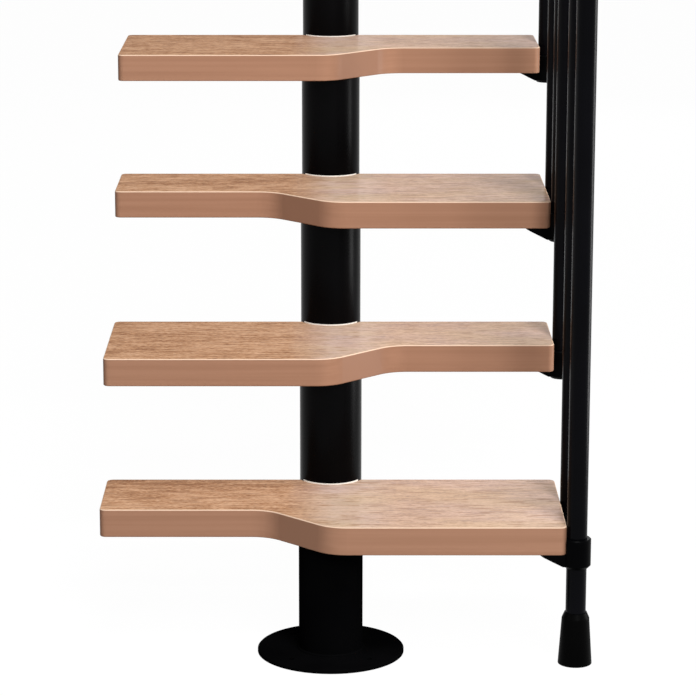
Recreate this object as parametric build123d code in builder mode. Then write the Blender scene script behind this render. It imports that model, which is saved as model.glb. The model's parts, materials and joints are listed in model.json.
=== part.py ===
from build123d import *
from math import hypot
import os

# Alternating tread staircase: paddle-shaped wooden treads on a steel spine of stacked modules,
# with a railing of round balusters along the right-hand side of the flight.
# Millimetres. The origin is the centre of the floor flange's underside, Z is up,
# Y runs up the flight and X points to the railing.

# The flight
tread_count = 6
first_rise = 198
rise = 190
going = 195

# Spine tube with its floor flange
tube_radius = 44.45
tube_wall = 3
flange_radius = 102
flange_thickness = 5.5
flange_edge = 1.5
anchor_count = 4
anchor_circle_radius = 76
anchor_hole_radius = 5.5
anchor_head_radius = 9
anchor_head_angle = 90

# Arm on top of each tube, an upturned tray that the tread is bolted to,
# and the spigot at its rear end that the next tube slips over
arm_depth = 30
arm_wall = 4
arm_edge = 2
spigot_wall = 3
spigot_height = 46
spigot_clearance = 0.3
tread_bolt_radius = 4.5
tread_bolt_spacing_x = 44
tread_bolt_spacing_y = 46
tread_bolt_reach = 84
set_bolt_radius = 4.25
set_bolt_heights = (13, 33)

# Top support that is bolted to the edge of the upper floor
top_tube_height = 195
top_cap_thickness = 4
wall_plate_width = 200
wall_plate_height = 180
wall_plate_thickness = 8
wall_plate_corner = 12
wall_plate_standoff = 80
wall_plate_lift = 100
wall_bolt_radius = 6.5
wall_bolt_spacing_x = 150
wall_bolt_spacing_z = 130
stub_width = 60
stub_height = 100
stub_wall = 4
stub_corner = 8

# Treads
tread_length = 645
tread_thickness = 40
wide_depth = 244
narrow_depth = 157
spine_setback = 17
notch_clearance = 1
notch_lip = 3
shoulder_offset = -1
shoulder_run = 87
shoulder_radius = 55
tread_corner = 9
top_arris = 2
bottom_arris = 1.5

# Balusters, their brackets and the foot of the newel baluster
bar_radius = 14
bar_wall = 1.5
bar_clearance = 0.2
front_bar_margin = 12
bar_spacing = 68
collar_radius = 19.5
collar_wall_at_tread = 0.4
collar_height = 42
collar_drop = 18
collar_floor = 5
collar_top_edge = 1.5
collar_bottom_edge = 4
bracket_reach = 51
bracket_tip = 1
bracket_root = 17
bracket_width = 22
foot_base_radius = 23.5
foot_top_radius = 19
foot_rim_radius = 15.5
foot_height = 74
foot_shoulder_height = 8
foot_shoulder_round = 6
foot_floor = 6
foot_toe = 1

# Handrail with its saddles and end caps
rail_radius = 21
rail_wall = 2
rail_height = 900
rail_overhang = 90
saddle_radius = 17.5
saddle_sleeve = 30
saddle_rise = 48
saddle_edge = 1.5
cap_thickness = 6
cap_edge = 4
cap_plug = 14
cap_clearance = 0.2

# Places that follow from those sizes
tread_end = tread_length / 2
bar_x = tread_end + collar_wall_at_tread + bar_clearance + bar_radius
pitch = hypot(going, rise)
climb = Vector(0, going, rise) / pitch


def tread_top(number):
    return first_rise + (number - 1) * rise


def tread_underside(number):
    return tread_top(number) - tread_thickness


def rear_edge(number):
    return number * going - spine_setback


def front_bar_y(number):
    return rear_edge(number) - wide_depth + front_bar_margin


def rear_bar_y(number):
    return front_bar_y(number + 1) - bar_spacing


def rail_centre(y):
    nosing_y = rear_edge(1) - wide_depth
    return tread_top(1) + rail_height + (y - nosing_y) * rise / going


os.makedirs("parts", exist_ok=True)


# Spine modules: each is a tube with the arm for the next tread welded to its top.
# The lowest one stands on the floor flange, and each of the others stands on the arm below
for level in range(tread_count):
    axis_y = level * going
    foot_z = flange_thickness if level == 0 else tread_underside(level)
    arm_top = tread_underside(level + 1)
    with BuildPart() as support:
        with BuildSketch(Plane((0, axis_y + going / 2, arm_top - arm_depth))):
            SlotCenterToCenter(going, 2 * tube_radius, rotation=90)
        extrude(amount=arm_depth)
        fillet(support.faces().sort_by(Axis.Z)[-1].edges(), radius=arm_edge)
        offset(amount=-arm_wall, openings=support.faces().sort_by(Axis.Z)[0])

        with BuildSketch(Plane((0, axis_y, foot_z))):
            Circle(tube_radius)
            Circle(tube_radius - tube_wall, mode=Mode.SUBTRACT)
        extrude(amount=arm_top - arm_wall - foot_z)

        # The spigot
        spigot_radius = tube_radius - tube_wall - spigot_clearance
        with BuildSketch(Plane((0, axis_y + going, arm_top - arm_wall))):
            Circle(spigot_radius)
            Circle(spigot_radius - spigot_wall, mode=Mode.SUBTRACT)
        extrude(amount=arm_wall + spigot_height)

        # Holes for the bolts that go up into the tread
        with Locations(Plane((0, axis_y + tread_bolt_reach, arm_top))):
            with GridLocations(tread_bolt_spacing_x, tread_bolt_spacing_y, 2, 2):
                Hole(radius=tread_bolt_radius, depth=2 * arm_wall)

        if level == 0:
            with BuildSketch():
                Circle(flange_radius)
            extrude(amount=flange_thickness)
            with Locations(Plane.XY.offset(flange_thickness)):
                with PolarLocations(anchor_circle_radius, anchor_count, start_angle=45):
                    CounterSinkHole(
                        anchor_hole_radius, anchor_head_radius, depth=flange_thickness,
                        counter_sink_angle=anchor_head_angle,
                    )
            rims = support.edges().filter_by(GeomType.CIRCLE)
            chamfer(rims.filter_by(lambda rim: rim.radius == flange_radius).sort_by(Axis.Z)[-1], flange_edge)
        else:
            # Holes for the set bolts that clamp the tube's foot to the spigot inside it
            for height in set_bolt_heights:
                with Locations(Plane((0, axis_y + tube_radius, foot_z + height), z_dir=(0, 1, 0))):
                    Hole(radius=set_bolt_radius, depth=2 * tube_wall)

    name = "floor_support" if level == 0 else f"spine_support_{level + 1}"
    support.part.label = name
    export_step(support.part, f"parts/{name}.step")


# Top support: the last tube, closed by a cap, with a bolting plate on a short stub behind it
top_axis_y = tread_count * going
top_foot_z = tread_underside(tread_count)
plate_back = top_axis_y + wall_plate_standoff
with BuildPart() as top_support:
    with BuildSketch(Plane((0, top_axis_y, top_foot_z))):
        Circle(tube_radius)
    extrude(amount=top_tube_height)
    stub_plane = Plane(
        (0, plate_back - wall_plate_thickness, top_foot_z + wall_plate_lift), x_dir=(1, 0, 0), z_dir=(0, -1, 0)
    )
    with BuildSketch(stub_plane):
        RectangleRounded(stub_width, stub_height, stub_corner)
        RectangleRounded(
            stub_width - 2 * stub_wall, stub_height - 2 * stub_wall, stub_corner - stub_wall, mode=Mode.SUBTRACT
        )
    extrude(amount=wall_plate_standoff - wall_plate_thickness)
    with BuildSketch(Plane((0, top_axis_y, top_foot_z))):
        Circle(tube_radius - tube_wall)
    extrude(amount=top_tube_height - top_cap_thickness, mode=Mode.SUBTRACT)
    fillet(top_support.faces().sort_by(Axis.Z)[-1].edges(), radius=arm_edge)
    with BuildSketch(stub_plane):
        RectangleRounded(wall_plate_width, wall_plate_height, wall_plate_corner)
        with GridLocations(wall_bolt_spacing_x, wall_bolt_spacing_z, 2, 2):
            Circle(wall_bolt_radius, mode=Mode.SUBTRACT)
    extrude(amount=-wall_plate_thickness)
    for height in set_bolt_heights:
        with Locations(Plane((0, top_axis_y + tube_radius, top_foot_z + height), z_dir=(0, 1, 0))):
            Hole(radius=set_bolt_radius, depth=2 * tube_wall)
top_support.part.label = "top_support"
export_step(top_support.part, "parts/top_support.step")


# Treads: paddle-shaped boards, the wide end right on odd treads and left on even ones.
# Each is notched at the back for the tube that stands behind it
for number in range(1, tread_count + 1):
    side = 1 if number % 2 else -1
    rear = -spine_setback
    shoulder = side * shoulder_offset
    hollow = side * (shoulder_offset - shoulder_run)
    with BuildPart() as tread:
        with BuildSketch(Plane((0, number * going, tread_underside(number)))) as outline:
            with BuildLine():
                Polyline(
                    (side * tread_end, rear),
                    (side * tread_end, rear - wide_depth),
                    (shoulder, rear - wide_depth),
                    (hollow, rear - narrow_depth),
                    (-side * tread_end, rear - narrow_depth),
                    (-side * tread_end, rear),
                    close=True,
                )
            make_face()
            between_ends = outline.vertices().filter_by(lambda corner: abs(corner.X) < tread_end - shoulder_radius)
            fillet(between_ends, radius=shoulder_radius)
            ends = outline.vertices().group_by(lambda corner: round(abs(corner.X), 3))[-1]
            fillet(ends, radius=tread_corner)
            Circle(tube_radius + notch_clearance, mode=Mode.SUBTRACT)
            lips = outline.vertices().group_by(Axis.Y)[-1].sort_by(lambda v: abs(v.X))[:2]
            fillet(lips, radius=notch_lip)
        extrude(amount=tread_thickness)
        fillet(tread.faces().sort_by(Axis.Z)[-1].edges(), radius=top_arris)
        fillet(tread.faces().sort_by(Axis.Z)[0].edges(), radius=bottom_arris)
    tread.part.label = f"tread_{number}"
    export_step(tread.part, f"parts/tread_{number}.step")


# Every baluster stands beside the end of a tread: one near the front of the wide right-hand ends,
# and one near the back of each tread, a fixed spacing ahead of the front place on the next tread.
# The foremost one runs down to the floor
balusters = []
for number in range(1, tread_count + 1):
    balusters.append(("rear", number, rear_bar_y(number)))
    if number % 2:
        balusters.append(("front", number, front_bar_y(number)))

for row, number, bar_y in balusters:
    newel = (row, number) == ("front", 1)
    collar_top = tread_top(number) - collar_drop
    collar_base = collar_top - collar_height
    bore_z = collar_base if newel else collar_base + collar_floor
    bar_foot = foot_floor if newel else bore_z
    bar_top = rail_centre(bar_y) - saddle_rise

    # Bracket: a round collar with a flat against the tread's end and a wedge arm under the tread
    with BuildPart() as bracket:
        with BuildSketch(Plane((bar_x, bar_y, collar_base))):
            Circle(collar_radius)
        extrude(amount=collar_height)
        rims = bracket.edges().filter_by(GeomType.CIRCLE).sort_by(Axis.Z)
        chamfer(rims[-1], collar_top_edge)
        chamfer(rims[0], collar_bottom_edge)
        under = tread_underside(number)
        with BuildSketch(Plane((0, bar_y, 0), x_dir=(1, 0, 0), z_dir=(0, -1, 0))):
            with BuildLine():
                Polyline(
                    (bar_x - bracket_reach, under),
                    (bar_x, under),
                    (bar_x, under - bracket_root),
                    (bar_x - collar_radius, under - bracket_root),
                    (bar_x - bracket_reach, under - bracket_tip),
                    close=True,
                )
            make_face()
        extrude(amount=bracket_width / 2, both=True)
        tip_edges = bracket.edges().filter_by(Axis.Z).group_by(Axis.X)[0]
        fillet(tip_edges, radius=bracket_width / 3)
        with BuildSketch(Plane((tread_end, bar_y, under))):
            Rectangle(collar_radius, 2 * collar_radius, align=(Align.MAX, Align.CENTER))
        extrude(amount=collar_height, mode=Mode.SUBTRACT)
        with BuildSketch(Plane((bar_x, bar_y, bore_z))):
            Circle(bar_radius + bar_clearance)
        extrude(amount=collar_height, mode=Mode.SUBTRACT)
    bracket.part.label = f"{row}_bracket_{number}"
    export_step(bracket.part, f"parts/{row}_bracket_{number}.step")

    # Baluster tube, from the floor of its collar or foot to the saddle under the handrail
    with BuildPart() as baluster:
        with BuildSketch(Plane((bar_x, bar_y, bar_foot))):
            Circle(bar_radius)
            Circle(bar_radius - bar_wall, mode=Mode.SUBTRACT)
        extrude(amount=bar_top - bar_foot)
    name = "newel_baluster" if newel else f"{row}_baluster_{number}"
    baluster.part.label = name
    export_step(baluster.part, f"parts/{name}.step")

    # Saddle: a sleeve over the baluster's top with its upper end hollowed to the handrail
    with BuildPart() as saddle:
        with BuildSketch(Plane((bar_x, bar_y, bar_top - saddle_sleeve))):
            Circle(saddle_radius)
        extrude(amount=saddle_sleeve + saddle_rise)
        fillet(saddle.faces().sort_by(Axis.Z)[0].edges(), radius=saddle_edge)
        with BuildSketch(Plane((bar_x, bar_y, rail_centre(bar_y)), z_dir=climb)):
            Circle(rail_radius)
        extrude(amount=2 * saddle_rise, both=True, mode=Mode.SUBTRACT)
        with BuildSketch(Plane((bar_x, bar_y, bar_top - saddle_sleeve))):
            Circle(bar_radius + bar_clearance)
        extrude(amount=saddle_sleeve, mode=Mode.SUBTRACT)
    saddle.part.label = f"{row}_saddle_{number}"
    export_step(saddle.part, f"parts/{row}_saddle_{number}.step")


# Rubber foot of the foremost baluster: a tapered ferrule with a sloping shoulder round the tube
newel_y = front_bar_y(1)
with BuildPart() as newel_foot:
    with BuildSketch(Plane((bar_x, newel_y, 0), x_dir=(1, 0, 0), z_dir=(0, -1, 0))) as foot_side:
        with BuildLine():
            Polyline(
                (0, 0),
                (foot_base_radius, 0),
                (foot_top_radius, foot_height - foot_shoulder_height),
                (foot_rim_radius, foot_height),
                (0, foot_height),
                close=True,
            )
        make_face()
        fillet(foot_side.vertices().group_by(Axis.Y)[-2], radius=foot_shoulder_round)
        fillet(foot_side.vertices().sort_by(Axis.X)[-1], radius=foot_toe)
    revolve(axis=Axis((bar_x, newel_y, 0), (0, 0, 1)))
    with BuildSketch(Plane((bar_x, newel_y, foot_floor))):
        Circle(bar_radius + bar_clearance)
    extrude(amount=foot_height, mode=Mode.SUBTRACT)
newel_foot.part.label = "newel_foot"
export_step(newel_foot.part, "parts/newel_foot.step")


# Handrail: a straight tube parallel to the line of the nosings, past the first and last baluster
first_y = newel_y - rail_overhang
last_y = rear_bar_y(tread_count) + rail_overhang
rail_foot = Plane((bar_x, first_y, rail_centre(first_y)), z_dir=climb)
rail_head = Plane((bar_x, last_y, rail_centre(last_y)), z_dir=climb)
with BuildPart() as handrail:
    with BuildSketch(rail_foot):
        Circle(rail_radius)
        Circle(rail_radius - rail_wall, mode=Mode.SUBTRACT)
    extrude(amount=(last_y - first_y) * pitch / going)
handrail.part.label = "handrail"
export_step(handrail.part, "parts/handrail.step")


# End caps: a rounded disc with a plug inside the handrail's end
for name, end_plane, outward in (("lower_rail_cap", rail_foot, -1), ("upper_rail_cap", rail_head, 1)):
    with BuildPart() as cap:
        with BuildSketch(end_plane):
            Circle(rail_radius)
        extrude(amount=outward * cap_thickness)
        fillet(cap.faces().sort_by(Axis(end_plane.origin, end_plane.z_dir * outward))[-1].edges(), radius=cap_edge)
        with BuildSketch(end_plane):
            Circle(rail_radius - rail_wall - cap_clearance)
        extrude(amount=-outward * cap_plug)
    cap.part.label = name
    export_step(cap.part, f"parts/{name}.step")
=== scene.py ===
import json
import math

import bmesh
import bpy
from mathutils import Matrix, Vector


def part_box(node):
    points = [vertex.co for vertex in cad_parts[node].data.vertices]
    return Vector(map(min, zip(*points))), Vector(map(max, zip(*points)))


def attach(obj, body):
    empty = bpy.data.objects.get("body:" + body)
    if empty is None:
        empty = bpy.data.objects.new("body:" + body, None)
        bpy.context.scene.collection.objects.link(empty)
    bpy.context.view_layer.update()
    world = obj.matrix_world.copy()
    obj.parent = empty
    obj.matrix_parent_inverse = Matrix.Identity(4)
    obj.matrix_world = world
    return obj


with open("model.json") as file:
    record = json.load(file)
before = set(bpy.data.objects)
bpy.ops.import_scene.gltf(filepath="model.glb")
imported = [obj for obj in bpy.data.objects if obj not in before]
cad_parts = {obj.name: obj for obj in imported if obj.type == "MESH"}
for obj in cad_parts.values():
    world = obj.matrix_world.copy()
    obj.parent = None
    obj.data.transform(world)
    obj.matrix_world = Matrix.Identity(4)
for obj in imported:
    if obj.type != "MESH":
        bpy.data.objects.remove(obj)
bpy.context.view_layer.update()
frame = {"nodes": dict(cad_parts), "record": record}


# Spine: tubes of drawn steel with a pressed tray arm welded on top of each, and a turned flange
# at the foot. The whole is shot-blasted and powder coated satin black, which leaves a very fine
# orange peel and a faint cloudiness, and the flange comes out duller than the tubes.
class Shade:
    """A value in a node tree. Arithmetic on it adds Math nodes."""

    def __init__(self, shading, socket):
        self.shading = shading
        self.socket = socket

    def math(self, operation, other):
        return self.shading.node("ShaderNodeMath", {"operation": operation}, {0: self, 1: other})

    def __add__(self, other):
        return self.math("ADD", other)

    def __mul__(self, other):
        return self.math("MULTIPLY", other)

    __radd__ = __add__
    __rmul__ = __mul__


class Shading:
    """A node tree, built up node by node."""

    def __init__(self, tree):
        self.tree = tree

    def node(self, kind, settings=None, inputs=None, output=0):
        """Add a node: its settings first, then the values or links of its sockets.

        It gives back one of the node's outputs, and nothing for a node that has none.
        """
        made = self.tree.nodes.new(kind)
        for name, value in (settings or {}).items():
            if name == "stops":
                ramp = made.color_ramp
                while len(ramp.elements) < len(value):
                    ramp.elements.new(1.0)
                for element, (position, colour) in zip(ramp.elements, value):
                    element.position = position
                    element.color = (*colour, 1.0)
            else:
                setattr(made, name, value)
        for name, value in (inputs or {}).items():
            if isinstance(value, Shade):
                self.tree.links.new(value.socket, made.inputs[name])
            else:
                made.inputs[name].default_value = value
        return Shade(self, made.outputs[output]) if made.outputs else None


class Finish(Shading):
    """A material with one Principled shader."""

    def __init__(self, name, **constants):
        self.material = bpy.data.materials.new(name)
        self.material.use_nodes = True
        super().__init__(self.material.node_tree)
        self.shader = self.tree.nodes["Principled BSDF"]
        for socket_name, value in constants.items():
            self.shader.inputs[socket_name.replace("_", " ")].default_value = value

    def drive(self, name, shade):
        self.tree.links.new(shade.socket, self.shader.inputs[name])

    def place(self, scale):
        """Object coordinates, multiplied by a scale along each axis."""
        spot = self.node("ShaderNodeTexCoord", output="Object")
        return self.node("ShaderNodeMapping", inputs={"Vector": spot, "Scale": scale})

    def noise(self, scale, detail=2.0, roughness=0.5):
        return self.node(
            "ShaderNodeTexNoise",
            inputs={"Vector": self.place(scale), "Scale": 1.0, "Detail": detail, "Roughness": roughness},
        )

    def range(self, value, low, high, to_low=0.0, to_high=1.0):
        return self.node(
            "ShaderNodeMapRange",
            {"clamp": True},
            {"Value": value, "From Min": low, "From Max": high, "To Min": to_low, "To Max": to_high},
        )

    def ramp(self, value, stops):
        return self.node("ShaderNodeValToRGB", {"stops": stops}, {"Fac": value})

    def blend(self, factor, first, second):
        """Mix two colours, each a shade or a plain red, green and blue."""
        colours = [colour if isinstance(colour, Shade) else (*colour, 1.0) for colour in (first, second)]
        colour_a, colour_b, colour_result = 6, 7, 2
        return self.node(
            "ShaderNodeMix",
            {"data_type": "RGBA"},
            {"Factor": factor, colour_a: colours[0], colour_b: colours[1]},
            output=colour_result,
        )

    def bump(self, height, strength, distance):
        relief = {"Height": height, "Strength": strength, "Distance": distance}
        self.drive("Normal", self.node("ShaderNodeBump", inputs=relief, output="Normal"))


def black_coat(name, peel, dark, pale, roughness, gloss):
    """Satin black: orange peel of a pitch and depth, faint cloudiness and slightly uneven roughness."""
    coat = Finish(name, Specular_IOR_Level=gloss)
    peel_pitch, peel_depth = peel
    cloud = coat.noise((9, 9, 9), detail=4.0)
    dimples = coat.noise((1 / peel_pitch,) * 3, detail=2.0, roughness=0.45)
    coat.drive("Base Color", coat.blend(coat.range(cloud, 0.35, 0.7), dark, pale))
    coat.drive("Roughness", coat.range(cloud * 0.6 + dimples * 0.4, 0.35, 0.65, *roughness))
    coat.bump(dimples, 0.35, peel_depth)
    return coat.material


nodes = frame["nodes"]


def dress(node_name, material):
    """Give a frame node its material."""
    slots = nodes[node_name].data.materials
    slots.clear()
    slots.append(material)


MM = 0.001
powder_black = black_coat(
    "powder_black",
    peel=(0.9 * MM, 0.05 * MM),
    dark=(0.0008, 0.0008, 0.0010),
    pale=(0.0016, 0.0015, 0.0018),
    roughness=(0.24, 0.32),
    gloss=0.035,
)
flange_black = black_coat(
    "flange_black",
    peel=(1.2 * MM, 0.1 * MM),
    dark=(0.0014, 0.0014, 0.0016),
    pale=(0.0024, 0.0024, 0.0027),
    roughness=(0.5, 0.6),
    gloss=0.0,
)
tread_count = sum(name.startswith("tread_") for name in nodes)
upper_supports = [f"spine_support_{number}" for number in range(2, tread_count + 1)]
for name in upper_supports + ["top_support"]:
    dress(name, powder_black)
dress("floor_support", flange_black)


# Weld bead: the run of weld that closes the lowest tube to the flange, left as laid, with its
# ripples, and coated with the rest.
def stand(name, data):
    """Put a mesh, a lamp or a camera in the scene."""
    made = bpy.data.objects.new(name, data)
    bpy.context.scene.collection.objects.link(made)
    return made


sharp_angle = math.radians(40)


def piece(name, mesh_source, material):
    """Finish a bmesh as a piece of the stair that rides with it."""
    bmesh.ops.recalc_face_normals(mesh_source, faces=mesh_source.faces)
    mesh = bpy.data.meshes.new(name)
    mesh_source.to_mesh(mesh)
    mesh_source.free()
    mesh.shade_smooth()
    mesh.set_sharp_from_angle(angle=sharp_angle)
    mesh.materials.append(material)
    made = stand(name, mesh)
    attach(made, "root")


tube_low, tube_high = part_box("spine_support_2")
tube_radius = (tube_high.x - tube_low.x) / 2
flange_top = 5.5 * MM
bead_radius = 2.6 * MM
bead_sides = 10
ripple_count = 90
ripple_depth = 0.25 * MM
bead = bmesh.new()
circle = bmesh.ops.create_circle(bead, segments=bead_sides, radius=bead_radius)["verts"]
bmesh.ops.rotate(bead, verts=circle, cent=(0, 0, 0), matrix=Matrix.Rotation(math.pi / 2, 3, "X"))
bmesh.ops.translate(bead, verts=circle, vec=(tube_radius, 0, flange_top))
bmesh.ops.spin(
    bead,
    geom=circle + list(bead.edges),
    axis=(0, 0, 1),
    cent=(0, 0, 0),
    angle=2 * math.pi,
    steps=2 * ripple_count,
    use_merge=True,
)
for vertex in bead.verts:
    bearing = math.atan2(vertex.co.y, vertex.co.x)
    lift = ripple_depth * math.sin(bearing * ripple_count)
    vertex.co.z += lift
    vertex.co.xy *= 1 + lift / tube_radius
piece("flange_weld", bead, flange_black)


# Fasteners of the spine: flat-head anchors flush in the flange, set bolts that clamp the foot of
# each tube to the spigot inside it, bolts that go up through the tray into each tread, and the bolts
# of the upper plate. All are turned from steel and blackened, the anchors dull like the flange.
blackened = black_coat(
    "blackened_steel",
    peel=(0.5 * MM, 0.03 * MM),
    dark=(0.004, 0.004, 0.0045),
    pale=(0.009, 0.0088, 0.0088),
    roughness=(0.34, 0.46),
    gloss=0.12,
)


def placed(seat, direction, height):
    """The place of something that stands on seat, its +Z turned to a direction, its middle at height."""
    turn = Vector((0, 0, 1)).rotation_difference(Vector(direction)).to_matrix().to_4x4()
    return Matrix.Translation(seat) @ turn @ Matrix.Translation((0, 0, height))


touching = 1e-6


def disc(mesh_source, seat, direction, radius, thickness, segments, edge=0.0, start=0.0):
    """A round or many-sided disc standing on seat, or start above it, its outer rim bevelled by edge."""
    made = bmesh.ops.create_cone(
        mesh_source,
        cap_ends=True,
        segments=segments,
        radius1=radius,
        radius2=radius,
        depth=thickness,
        matrix=placed(seat, direction, start + thickness / 2),
    )["verts"]
    if edge:
        outer = Vector(direction).normalized()
        reach = Vector(seat).dot(outer) + start + thickness
        rim = [
            side
            for side in {side for vertex in made for side in vertex.link_edges}
            if all(abs(vertex.co.dot(outer) - reach) < touching for vertex in side.verts)
        ]
        bmesh.ops.bevel(
            mesh_source,
            geom=rim,
            offset=edge,
            offset_type="OFFSET",
            segments=2,
            profile=0.5,
            affect="EDGES",
            material=-1,
        )


# Sizes of a bolt's washer, its hexagon and a screw's socket, as shares of the thread
washer_radius, washer_thickness, washer_edge = 1.1, 0.2, 0.04
hexagon_radius, hexagon_thickness, hexagon_edge = 0.95, 0.65, 0.07
socket_radius, socket_depth = 0.36, 0.25
washer_sides, flat_head_sides, shank_sides = 28, 32, 16


def hexagon_bolt(mesh_source, seat, direction, thread, length, washer=True):
    """Washer, hexagon head and shank. The shank runs back from the seat by length."""
    raised = washer_thickness * thread if washer else 0.0
    if washer:
        plain = (washer_radius * thread, raised, washer_sides, washer_edge * thread)
        disc(mesh_source, seat, direction, *plain)
    hexagon = (hexagon_radius * thread, hexagon_thickness * thread, 6, hexagon_edge * thread)
    disc(mesh_source, seat, direction, *hexagon, start=raised)
    disc(mesh_source, seat, direction, thread / 2, length + raised, shank_sides, start=-length)


def flat_head_screw(mesh_source, seat, direction, thread, head_radius, length):
    """Countersunk head with a round socket, its top flush with seat, and a shank of length below."""
    head_depth = head_radius - thread / 2
    head = bmesh.ops.create_cone(
        mesh_source,
        cap_ends=True,
        segments=flat_head_sides,
        radius1=thread / 2,
        radius2=head_radius,
        depth=head_depth,
        matrix=placed(seat, direction, -head_depth / 2),
    )["verts"]
    top = max({face for vertex in head for face in vertex.link_faces}, key=lambda face: face.calc_area())
    bmesh.ops.inset_region(mesh_source, faces=[top], thickness=head_radius - socket_radius * thread)
    socket = bmesh.ops.extrude_discrete_faces(mesh_source, faces=[top])["faces"]
    sunk = {vertex for face in socket for vertex in face.verts}
    bmesh.ops.translate(mesh_source, verts=list(sunk), vec=Vector(direction) * -socket_depth * thread)
    disc(mesh_source, seat, direction, thread / 2, length - head_depth, shank_sides, start=-length)


mounts = {mount["name"]: mount for mount in frame["record"]["mounts"]}
anchor_sizes = mounts["floor_anchor_holes"]["dims"]
anchor_circle_radius = anchor_sizes["pcd_mm"] / 2 * MM
anchor_thread = 10 * MM
anchor_head_radius = 8.7 * MM
anchor_sink = 0.3 * MM
anchor_length = 0.9 * flange_top
anchors = bmesh.new()
for index in range(anchor_sizes["count"]):
    bearing = math.pi / 4 + 2 * math.pi * index / anchor_sizes["count"]
    seat = Vector((math.cos(bearing), math.sin(bearing), 0)) * anchor_circle_radius
    seat.z = flange_top - anchor_sink
    flat_head_screw(anchors, seat, (0, 0, 1), anchor_thread, anchor_head_radius, anchor_length)
piece("floor_anchors", anchors, flange_black)

set_bolt_thread = 8 * MM
set_bolt_length = 5 * MM
set_bolt_sink = 0.2 * MM
set_bolt_heights = (13 * MM, 33 * MM)
set_bolts = bmesh.new()
for name in upper_supports + ["top_support"]:
    low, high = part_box(name)
    for height in set_bolt_heights:
        seat = (0, low.y + 2 * tube_radius - set_bolt_sink, low.z + height)
        hexagon_bolt(set_bolts, seat, (0, 1, 0), set_bolt_thread, set_bolt_length, washer=False)
piece("set_bolts", set_bolts, blackened)

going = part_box("tread_2")[1].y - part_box("tread_1")[1].y
tray_wall = 4 * MM
tread_bolt_reach = 84 * MM
tread_bolt_spacing_x = 44 * MM
tread_bolt_spacing_y = 46 * MM
tread_bolt_thread = 8 * MM
tread_bolt_length = 6 * MM
tread_bolts = bmesh.new()
for number, name in enumerate(["floor_support"] + upper_supports, start=1):
    tray_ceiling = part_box(f"tread_{number}")[0].z - tray_wall
    bolts_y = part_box(name)[1].y - tube_radius - going + tread_bolt_reach
    for side in (-1, 1):
        for end in (-1, 1):
            seat = (side * tread_bolt_spacing_x / 2, bolts_y + end * tread_bolt_spacing_y / 2, tray_ceiling)
            hexagon_bolt(tread_bolts, seat, (0, 0, -1), tread_bolt_thread, tread_bolt_length)
piece("tread_bolts", tread_bolts, blackened)

plate_thickness = 8 * MM
plate_bolt_thread = 12 * MM
plate_bolt_length = 0.9 * plate_thickness
plate_mount = mounts["upper_plate_bolts"]
plate_bolts = bmesh.new()
for side in (-1, 1):
    for end in (-1, 1):
        seat = Vector(plate_mount["pos_m"])
        seat.x += side * plate_mount["dims"]["spacing_x_mm"] / 2 * MM
        seat.z += end * plate_mount["dims"]["spacing_y_mm"] / 2 * MM
        seat.y -= plate_thickness
        hexagon_bolt(plate_bolts, seat, (0, -1, 0), plate_bolt_thread, plate_bolt_length)
piece("upper_plate_bolts", plate_bolts, blackened)


# Treads: 40 mm boards glued up from steamed beech with the grain along the board, sawn to the paddle
# outline, rounded over and lacquered satin. The face shows short ray flecks and golden streaks, and
# the sawn edges, sealed and sanded, are pinker and more even, and darker on the end grain.
grain_dark = (0.250, 0.112, 0.052)
grain_middle = (0.440, 0.230, 0.118)
grain_pale = (0.610, 0.370, 0.228)
# Colours of the painted sheen laid over the face on the railing's half
sheen_straw = (0.63, 0.50, 0.38)
sheen_pink = (0.63, 0.50, 0.46)
dash_brown = (0.31, 0.165, 0.090)
edge_dark = (0.345, 0.178, 0.110)
edge_pale = (0.385, 0.203, 0.128)
end_grain = (0.305, 0.158, 0.099)
# Colour of the painted highlight along the rounded arrises
arris_highlight = (0.74, 0.54, 0.40)
pore_brown = (0.22, 0.10, 0.05)
knot_brown = (0.05, 0.025, 0.015)
beech = Finish("steamed_beech", Specular_IOR_Level=0.0, Coat_Weight=0.12, Coat_Roughness=0.28)

# Where the surface is: on the face, on its rounded arris, or on the board's ends
normal = beech.node("ShaderNodeNewGeometry", output="Normal")
upward = beech.node("ShaderNodeSeparateXYZ", inputs={"Vector": normal}, output="Z")
sideways = beech.node("ShaderNodeSeparateXYZ", inputs={"Vector": normal}, output="X")
on_face = beech.range(upward, 0.75, 0.97)
on_arris = beech.range(upward, 0.15, 0.4) * beech.range(upward, 0.8, 0.97, 1.0, 0.0)
on_end = beech.range(sideways * sideways, 0.1, 0.5)

# The grain, from broad clouds to single pores, each drawn out along the board
cloud = beech.noise((3.5, 16, 16), detail=3.0)
streak = beech.noise((24, 150, 150), detail=4.0, roughness=0.6)
dash = beech.noise((38, 250, 250), detail=2.0)
fleck = beech.noise((150, 480, 480), detail=2.0, roughness=0.6)
pore = beech.noise((150, 1400, 1400), detail=1.0)
grain = beech.range(cloud * 0.2 + streak * 0.4 + fleck * 0.4, 0.42, 0.58)
face_colour = beech.ramp(grain, [(0.0, grain_dark), (0.42, grain_middle), (1.0, grain_pale)])

# The face is painted paler and greyer on the railing's half, and most of all right in front of the tube: a
# painted sheen
spot = beech.node("ShaderNodeTexCoord", output="Object")
along_board = beech.node("ShaderNodeSeparateXYZ", inputs={"Vector": spot}, output="X")
sheen_shares = ((0.0, 0.0), (0.16, 0.66), (0.25, 0.60), (0.38, 0.34), (0.55, 0.38), (0.9, 0.52))
painted_sheen = beech.ramp(
    beech.range(along_board + cloud * 0.02, -0.05, 0.35),
    [(position, (share,) * 3) for position, share in sheen_shares],
)
hue = beech.range(beech.noise((7, 14, 14), detail=3.0), 0.38, 0.62)
# Painted sheen blended into the face colour, strongest in a band in front of the tube
face_colour = beech.blend(painted_sheen, face_colour, beech.blend(hue, sheen_straw, sheen_pink))
face_colour = beech.blend(beech.range(dash, 0.54, 0.64, 0.0, 0.6), face_colour, dash_brown)

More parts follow.
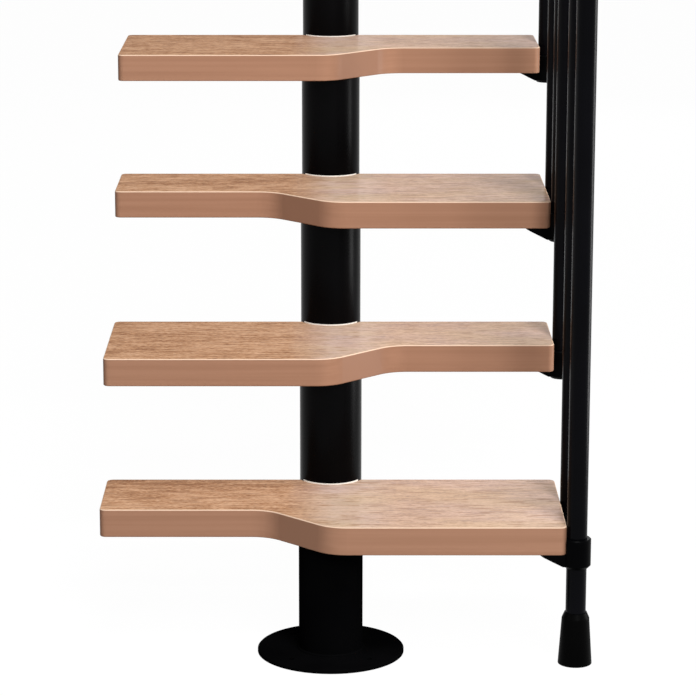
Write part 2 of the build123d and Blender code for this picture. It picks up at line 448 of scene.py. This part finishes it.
# The sawn edges
edge_line = beech.noise((2, 40, 150), detail=3.0)
edge_colour = beech.blend(beech.range(edge_line, 0.35, 0.65), edge_dark, edge_pale)
edge_colour = beech.blend(on_end, edge_colour, end_grain)

# Face and edges together, with a painted highlight along the arrises, open pores and a few pin knots
colour = beech.blend(on_face, edge_colour, face_colour)
# Painted highlight: the arrises blended towards a pale cream
colour = beech.blend(on_arris, colour, arris_highlight)
colour = beech.blend(beech.range(pore, 0.64, 0.74, 0.0, 0.3) * on_face, colour, pore_brown)
pin_knot = beech.node("ShaderNodeTexVoronoi", inputs={"Vector": beech.place((5.5, 6.5, 6.5)), "Scale": 1.0})
colour = beech.blend(beech.range(pin_knot, 0.006, 0.012, 0.8, 0.0), colour, knot_brown)
beech.drive("Base Color", colour)
beech.drive("Roughness", beech.range(streak * 0.5 + fleck * 0.5, 0.35, 0.65, 0.36, 0.48))
beech.bump(streak * 0.4 + pore * 0.6, 0.2, 0.1 * MM)
for number in range(1, tread_count + 1):
    dress(f"tread_{number}", beech.material)


# Notch strips: a pale, faintly mottled strip let into each notch between the board and the tube behind
# it, bent to the tube's curve and standing a little proud of the board. Its pale colour is a painted
# highlight, drawing the bright line round each notch.
# Pale finish of the strips: a painted highlight for the bright line round each notch
notch_highlight = Finish("notch_highlight", Roughness=0.45, Specular_IOR_Level=0.3)
mottle = notch_highlight.range(notch_highlight.noise((60, 60, 60), detail=2.0), 0.3, 0.7)
notch_highlight.drive("Base Color", notch_highlight.blend(mottle, (0.84, 0.80, 0.74), (0.90, 0.87, 0.82)))
notch_clearance = 1 * MM
notch_strip_gap = 0.08 * MM
notch_strip_inner = tube_radius + notch_strip_gap
notch_strip_outer = tube_radius + notch_clearance - notch_strip_gap
notch_strip_proud = 1.3 * MM
notch_strip_reach = math.radians(60)
notch_strip_steps = 24
notch_strips = bmesh.new()
for number in range(1, tread_count + 1):
    low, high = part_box(f"tread_{number}")
    top = high.z + notch_strip_proud
    axis_y = number * going
    section = bmesh.ops.create_grid(notch_strips, x_segments=1, y_segments=1, size=0.5)["verts"]
    bmesh.ops.scale(notch_strips, verts=section, vec=(notch_strip_outer - notch_strip_inner, top - low.z, 1))
    bmesh.ops.rotate(notch_strips, verts=section, cent=(0, 0, 0), matrix=Matrix.Rotation(math.pi / 2, 3, "X"))
    middle = Vector(((notch_strip_inner + notch_strip_outer) / 2, 0, (low.z + top) / 2))
    bmesh.ops.translate(notch_strips, verts=section, vec=middle)
    turn = Matrix.Rotation(-math.pi / 2 - notch_strip_reach, 3, "Z")
    bmesh.ops.rotate(notch_strips, verts=section, cent=(0, 0, 0), matrix=turn)
    bmesh.ops.translate(notch_strips, verts=section, vec=(0, axis_y, 0))
    strip = list({face for vertex in section for face in vertex.link_faces})
    strip += list({edge for face in strip for edge in face.edges}) + section
    bmesh.ops.spin(
        notch_strips,
        geom=strip,
        cent=(0, axis_y, 0),
        axis=(0, 0, 1),
        angle=2 * notch_strip_reach,
        steps=notch_strip_steps,
        use_duplicate=False,
    )
piece("notch_highlight_strips", notch_strips, notch_highlight.material)


# Brackets: small castings, a collar round the baluster and a wedge arm screwed up under the tread,
# coated like the spine but a little rougher. Two screws go up through the slope of each arm, and a
# grub screw in the back of the collar nips the baluster.
cast_black = black_coat(
    "cast_black",
    peel=(1.3 * MM, 0.08 * MM),
    dark=(0.0008, 0.0008, 0.0010),
    pale=(0.0016, 0.0016, 0.0019),
    roughness=(0.30, 0.40),
    gloss=0.014,
)
arm_tip = 1 * MM
arm_root = 17 * MM
collar_radius = 19.5 * MM
arm_screw_places = (0.3, 0.72)
arm_screw_radius = 3.2 * MM
arm_screw_thickness = 2.6 * MM
arm_screw_edge = 0.7 * MM
arm_screw_sink = 1.6 * MM
arm_screw_sides = 20
grub_screw_drop = 16 * MM
grub_screw_radius = 3 * MM
grub_screw_thickness = 1.6 * MM
grub_screw_edge = 0.3 * MM
grub_screw_sink = 1 * MM
grub_screw_sides = 6
arm_screws = bmesh.new()
grub_screws = bmesh.new()
for name in sorted(name for name in nodes if "_bracket_" in name):
    dress(name, cast_black)
    low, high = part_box(name)
    tread_number = name.rsplit("_", 1)[1]
    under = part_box(f"tread_{tread_number}")[0].z
    middle_y = (low.y + high.y) / 2
    bar_x = high.x - collar_radius
    slope_tip = Vector((low.x, middle_y, under - arm_tip))
    slope_root = Vector((bar_x - collar_radius, middle_y, under - arm_root))
    slope = slope_root - slope_tip
    outward = (slope.z, 0, -slope.x)
    screw = (arm_screw_radius, arm_screw_thickness, arm_screw_sides, arm_screw_edge, -arm_screw_sink)
    for share in arm_screw_places:
        disc(arm_screws, slope_tip + slope * share, outward, *screw)
    collar_back = (bar_x, middle_y + collar_radius, high.z - grub_screw_drop)
    screw = (grub_screw_radius, grub_screw_thickness, grub_screw_sides, grub_screw_edge, -grub_screw_sink)
    disc(grub_screws, collar_back, (0, 1, 0), *screw)
piece("bracket_screws", arm_screws, blackened)
piece("collar_screws", grub_screws, blackened)


# Balusters and handrail: straight welded steel tube, coated satin black after it is cut to length,
# a little smoother than the spine and with a faint blue cast.
tube_black = black_coat(
    "tube_black",
    peel=(0.8 * MM, 0.04 * MM),
    dark=(0.0008, 0.0008, 0.0014),
    pale=(0.0016, 0.0016, 0.0027),
    roughness=(0.22, 0.30),
    gloss=0.045,
)
for name in nodes:
    if "baluster" in name or name == "handrail":
        dress(name, tube_black)


# Saddles, end caps and foot: moulded pieces. The saddles and caps are a fine matt nylon, and the
# foot is a black rubber ferrule that grips the floor.
nylon = black_coat(
    "moulded_nylon",
    peel=(0.6 * MM, 0.05 * MM),
    dark=(0.004, 0.004, 0.004),
    pale=(0.007, 0.007, 0.007),
    roughness=(0.5, 0.6),
    gloss=0.05,
)
rubber = black_coat(
    "foot_rubber",
    peel=(1.0 * MM, 0.08 * MM),
    dark=(0.0006, 0.0006, 0.0006),
    pale=(0.0012, 0.0012, 0.0012),
    roughness=(0.32, 0.42),
    gloss=0.015,
)
for name in nodes:
    if "_saddle_" in name or name.endswith("_cap"):
        dress(name, nylon)
dress("newel_foot", rubber)


# Studio: a plain pale floor and a plain white surround. Two large soft lamps light the stair from
# above its front, the second further to the right, a low strip on the right draws the sheen down
# the black tubes, and a weak lamp behind lights the far side.
def seen_directly(shading):
    """1 for what the camera sees, directly, in a reflection or through glass."""
    total = shading.node("ShaderNodeLightPath", output="Is Camera Ray")
    for other in ("Is Glossy Ray", "Is Transmission Ray"):
        total = total.math("MAXIMUM", shading.node("ShaderNodeLightPath", output=other))
    return total


def surface(shading, kind, factor, first, second):
    """End a node tree in a mix of two shaders."""
    mixed = shading.node("ShaderNodeMixShader", inputs={"Fac": factor, 1: first, 2: second})
    shading.node(kind, inputs={"Surface": mixed})


floor_reach = 14.0
floor_grey = (0.55, 0.55, 0.55, 1.0)
glow_strength = 1.03
glow_share = 0.95
floor_mesh = bmesh.new()
bmesh.ops.create_grid(floor_mesh, x_segments=1, y_segments=1, size=floor_reach)
floor_data = bpy.data.meshes.new("studio_floor")
floor_mesh.to_mesh(floor_data)
floor_mesh.free()
floor = stand("studio_floor", floor_data)
floor_paint = bpy.data.materials.new("studio_floor")
floor_paint.use_nodes = True
floor_paint.node_tree.nodes.clear()
paint = Shading(floor_paint.node_tree)
matt = paint.node("ShaderNodeBsdfDiffuse", inputs={"Color": floor_grey})
glow = paint.node("ShaderNodeEmission", inputs={"Strength": glow_strength})
surface(paint, "ShaderNodeOutputMaterial", seen_directly(paint) * glow_share, matt, glow)
floor_data.materials.append(floor_paint)

ambient_grey = (0.8, 0.8, 0.8, 1.0)
ambient_strength = 0.17
world = bpy.data.worlds.new("studio")
bpy.context.scene.world = world
world.use_nodes = True
world.node_tree.nodes.clear()
surround = Shading(world.node_tree)
ambient = surround.node(
    "ShaderNodeBackground",
    inputs={"Color": ambient_grey, "Strength": ambient_strength},
)
white = surround.node("ShaderNodeBackground", inputs={"Color": (1.0, 1.0, 1.0, 1.0)})
surface(surround, "ShaderNodeOutputWorld", seen_directly(surround), ambient, white)


def softbox(name, position, aim, size, watts):
    """A rectangular lamp at a position, turned to its aim."""
    lamp = bpy.data.lights.new(name, "AREA")
    lamp.shape = "RECTANGLE"
    lamp.size, lamp.size_y = size
    lamp.energy = watts
    made = stand(name, lamp)
    made.location = position
    made.rotation_euler = (Vector(aim) - Vector(position)).to_track_quat("-Z", "Y").to_euler()


softbox("high_front", position=(0.3, -1.6, 5.0), aim=(0.0, 0.3, 0.5), size=(1.6, 1.6), watts=154)
softbox("key_right", position=(1.25, -3.4, 3.3), aim=(0.0, 0.5, 0.8), size=(2.0, 2.0), watts=166)
softbox("strip_right", position=(1.5, 0.3, 0.5), aim=(0.0, 0.4, 0.5), size=(0.42, 1.0), watts=14.5)
softbox("sheen_right", position=(0.8, 5.0, 1.5), aim=(0.1, 0.2, 0.3), size=(1.5, 1.6), watts=20)


# Camera: a long lens at chest height, square on to the flight and looking slightly down, as the
# photograph was taken.
photo_width = 696
focal_pixels = 2981
principal_x = 330.75
pitch_down = 0.229
camera_distance = 3.9696
camera_height = 1.3593
far_limit = 50.0
camera_data = bpy.data.cameras.new("camera")
camera_data.sensor_width = 36.0
camera_data.lens = camera_data.sensor_width * focal_pixels / photo_width
camera_data.shift_x = (photo_width / 2 - principal_x) / photo_width
camera_data.clip_end = far_limit
camera = stand("camera", camera_data)
camera.location = (0.0, -camera_distance, camera_height)
camera.rotation_euler = (math.pi / 2 - pitch_down, 0.0, 0.0)
bpy.context.scene.camera = camera
bpy.context.scene.view_settings.view_transform = "Standard"
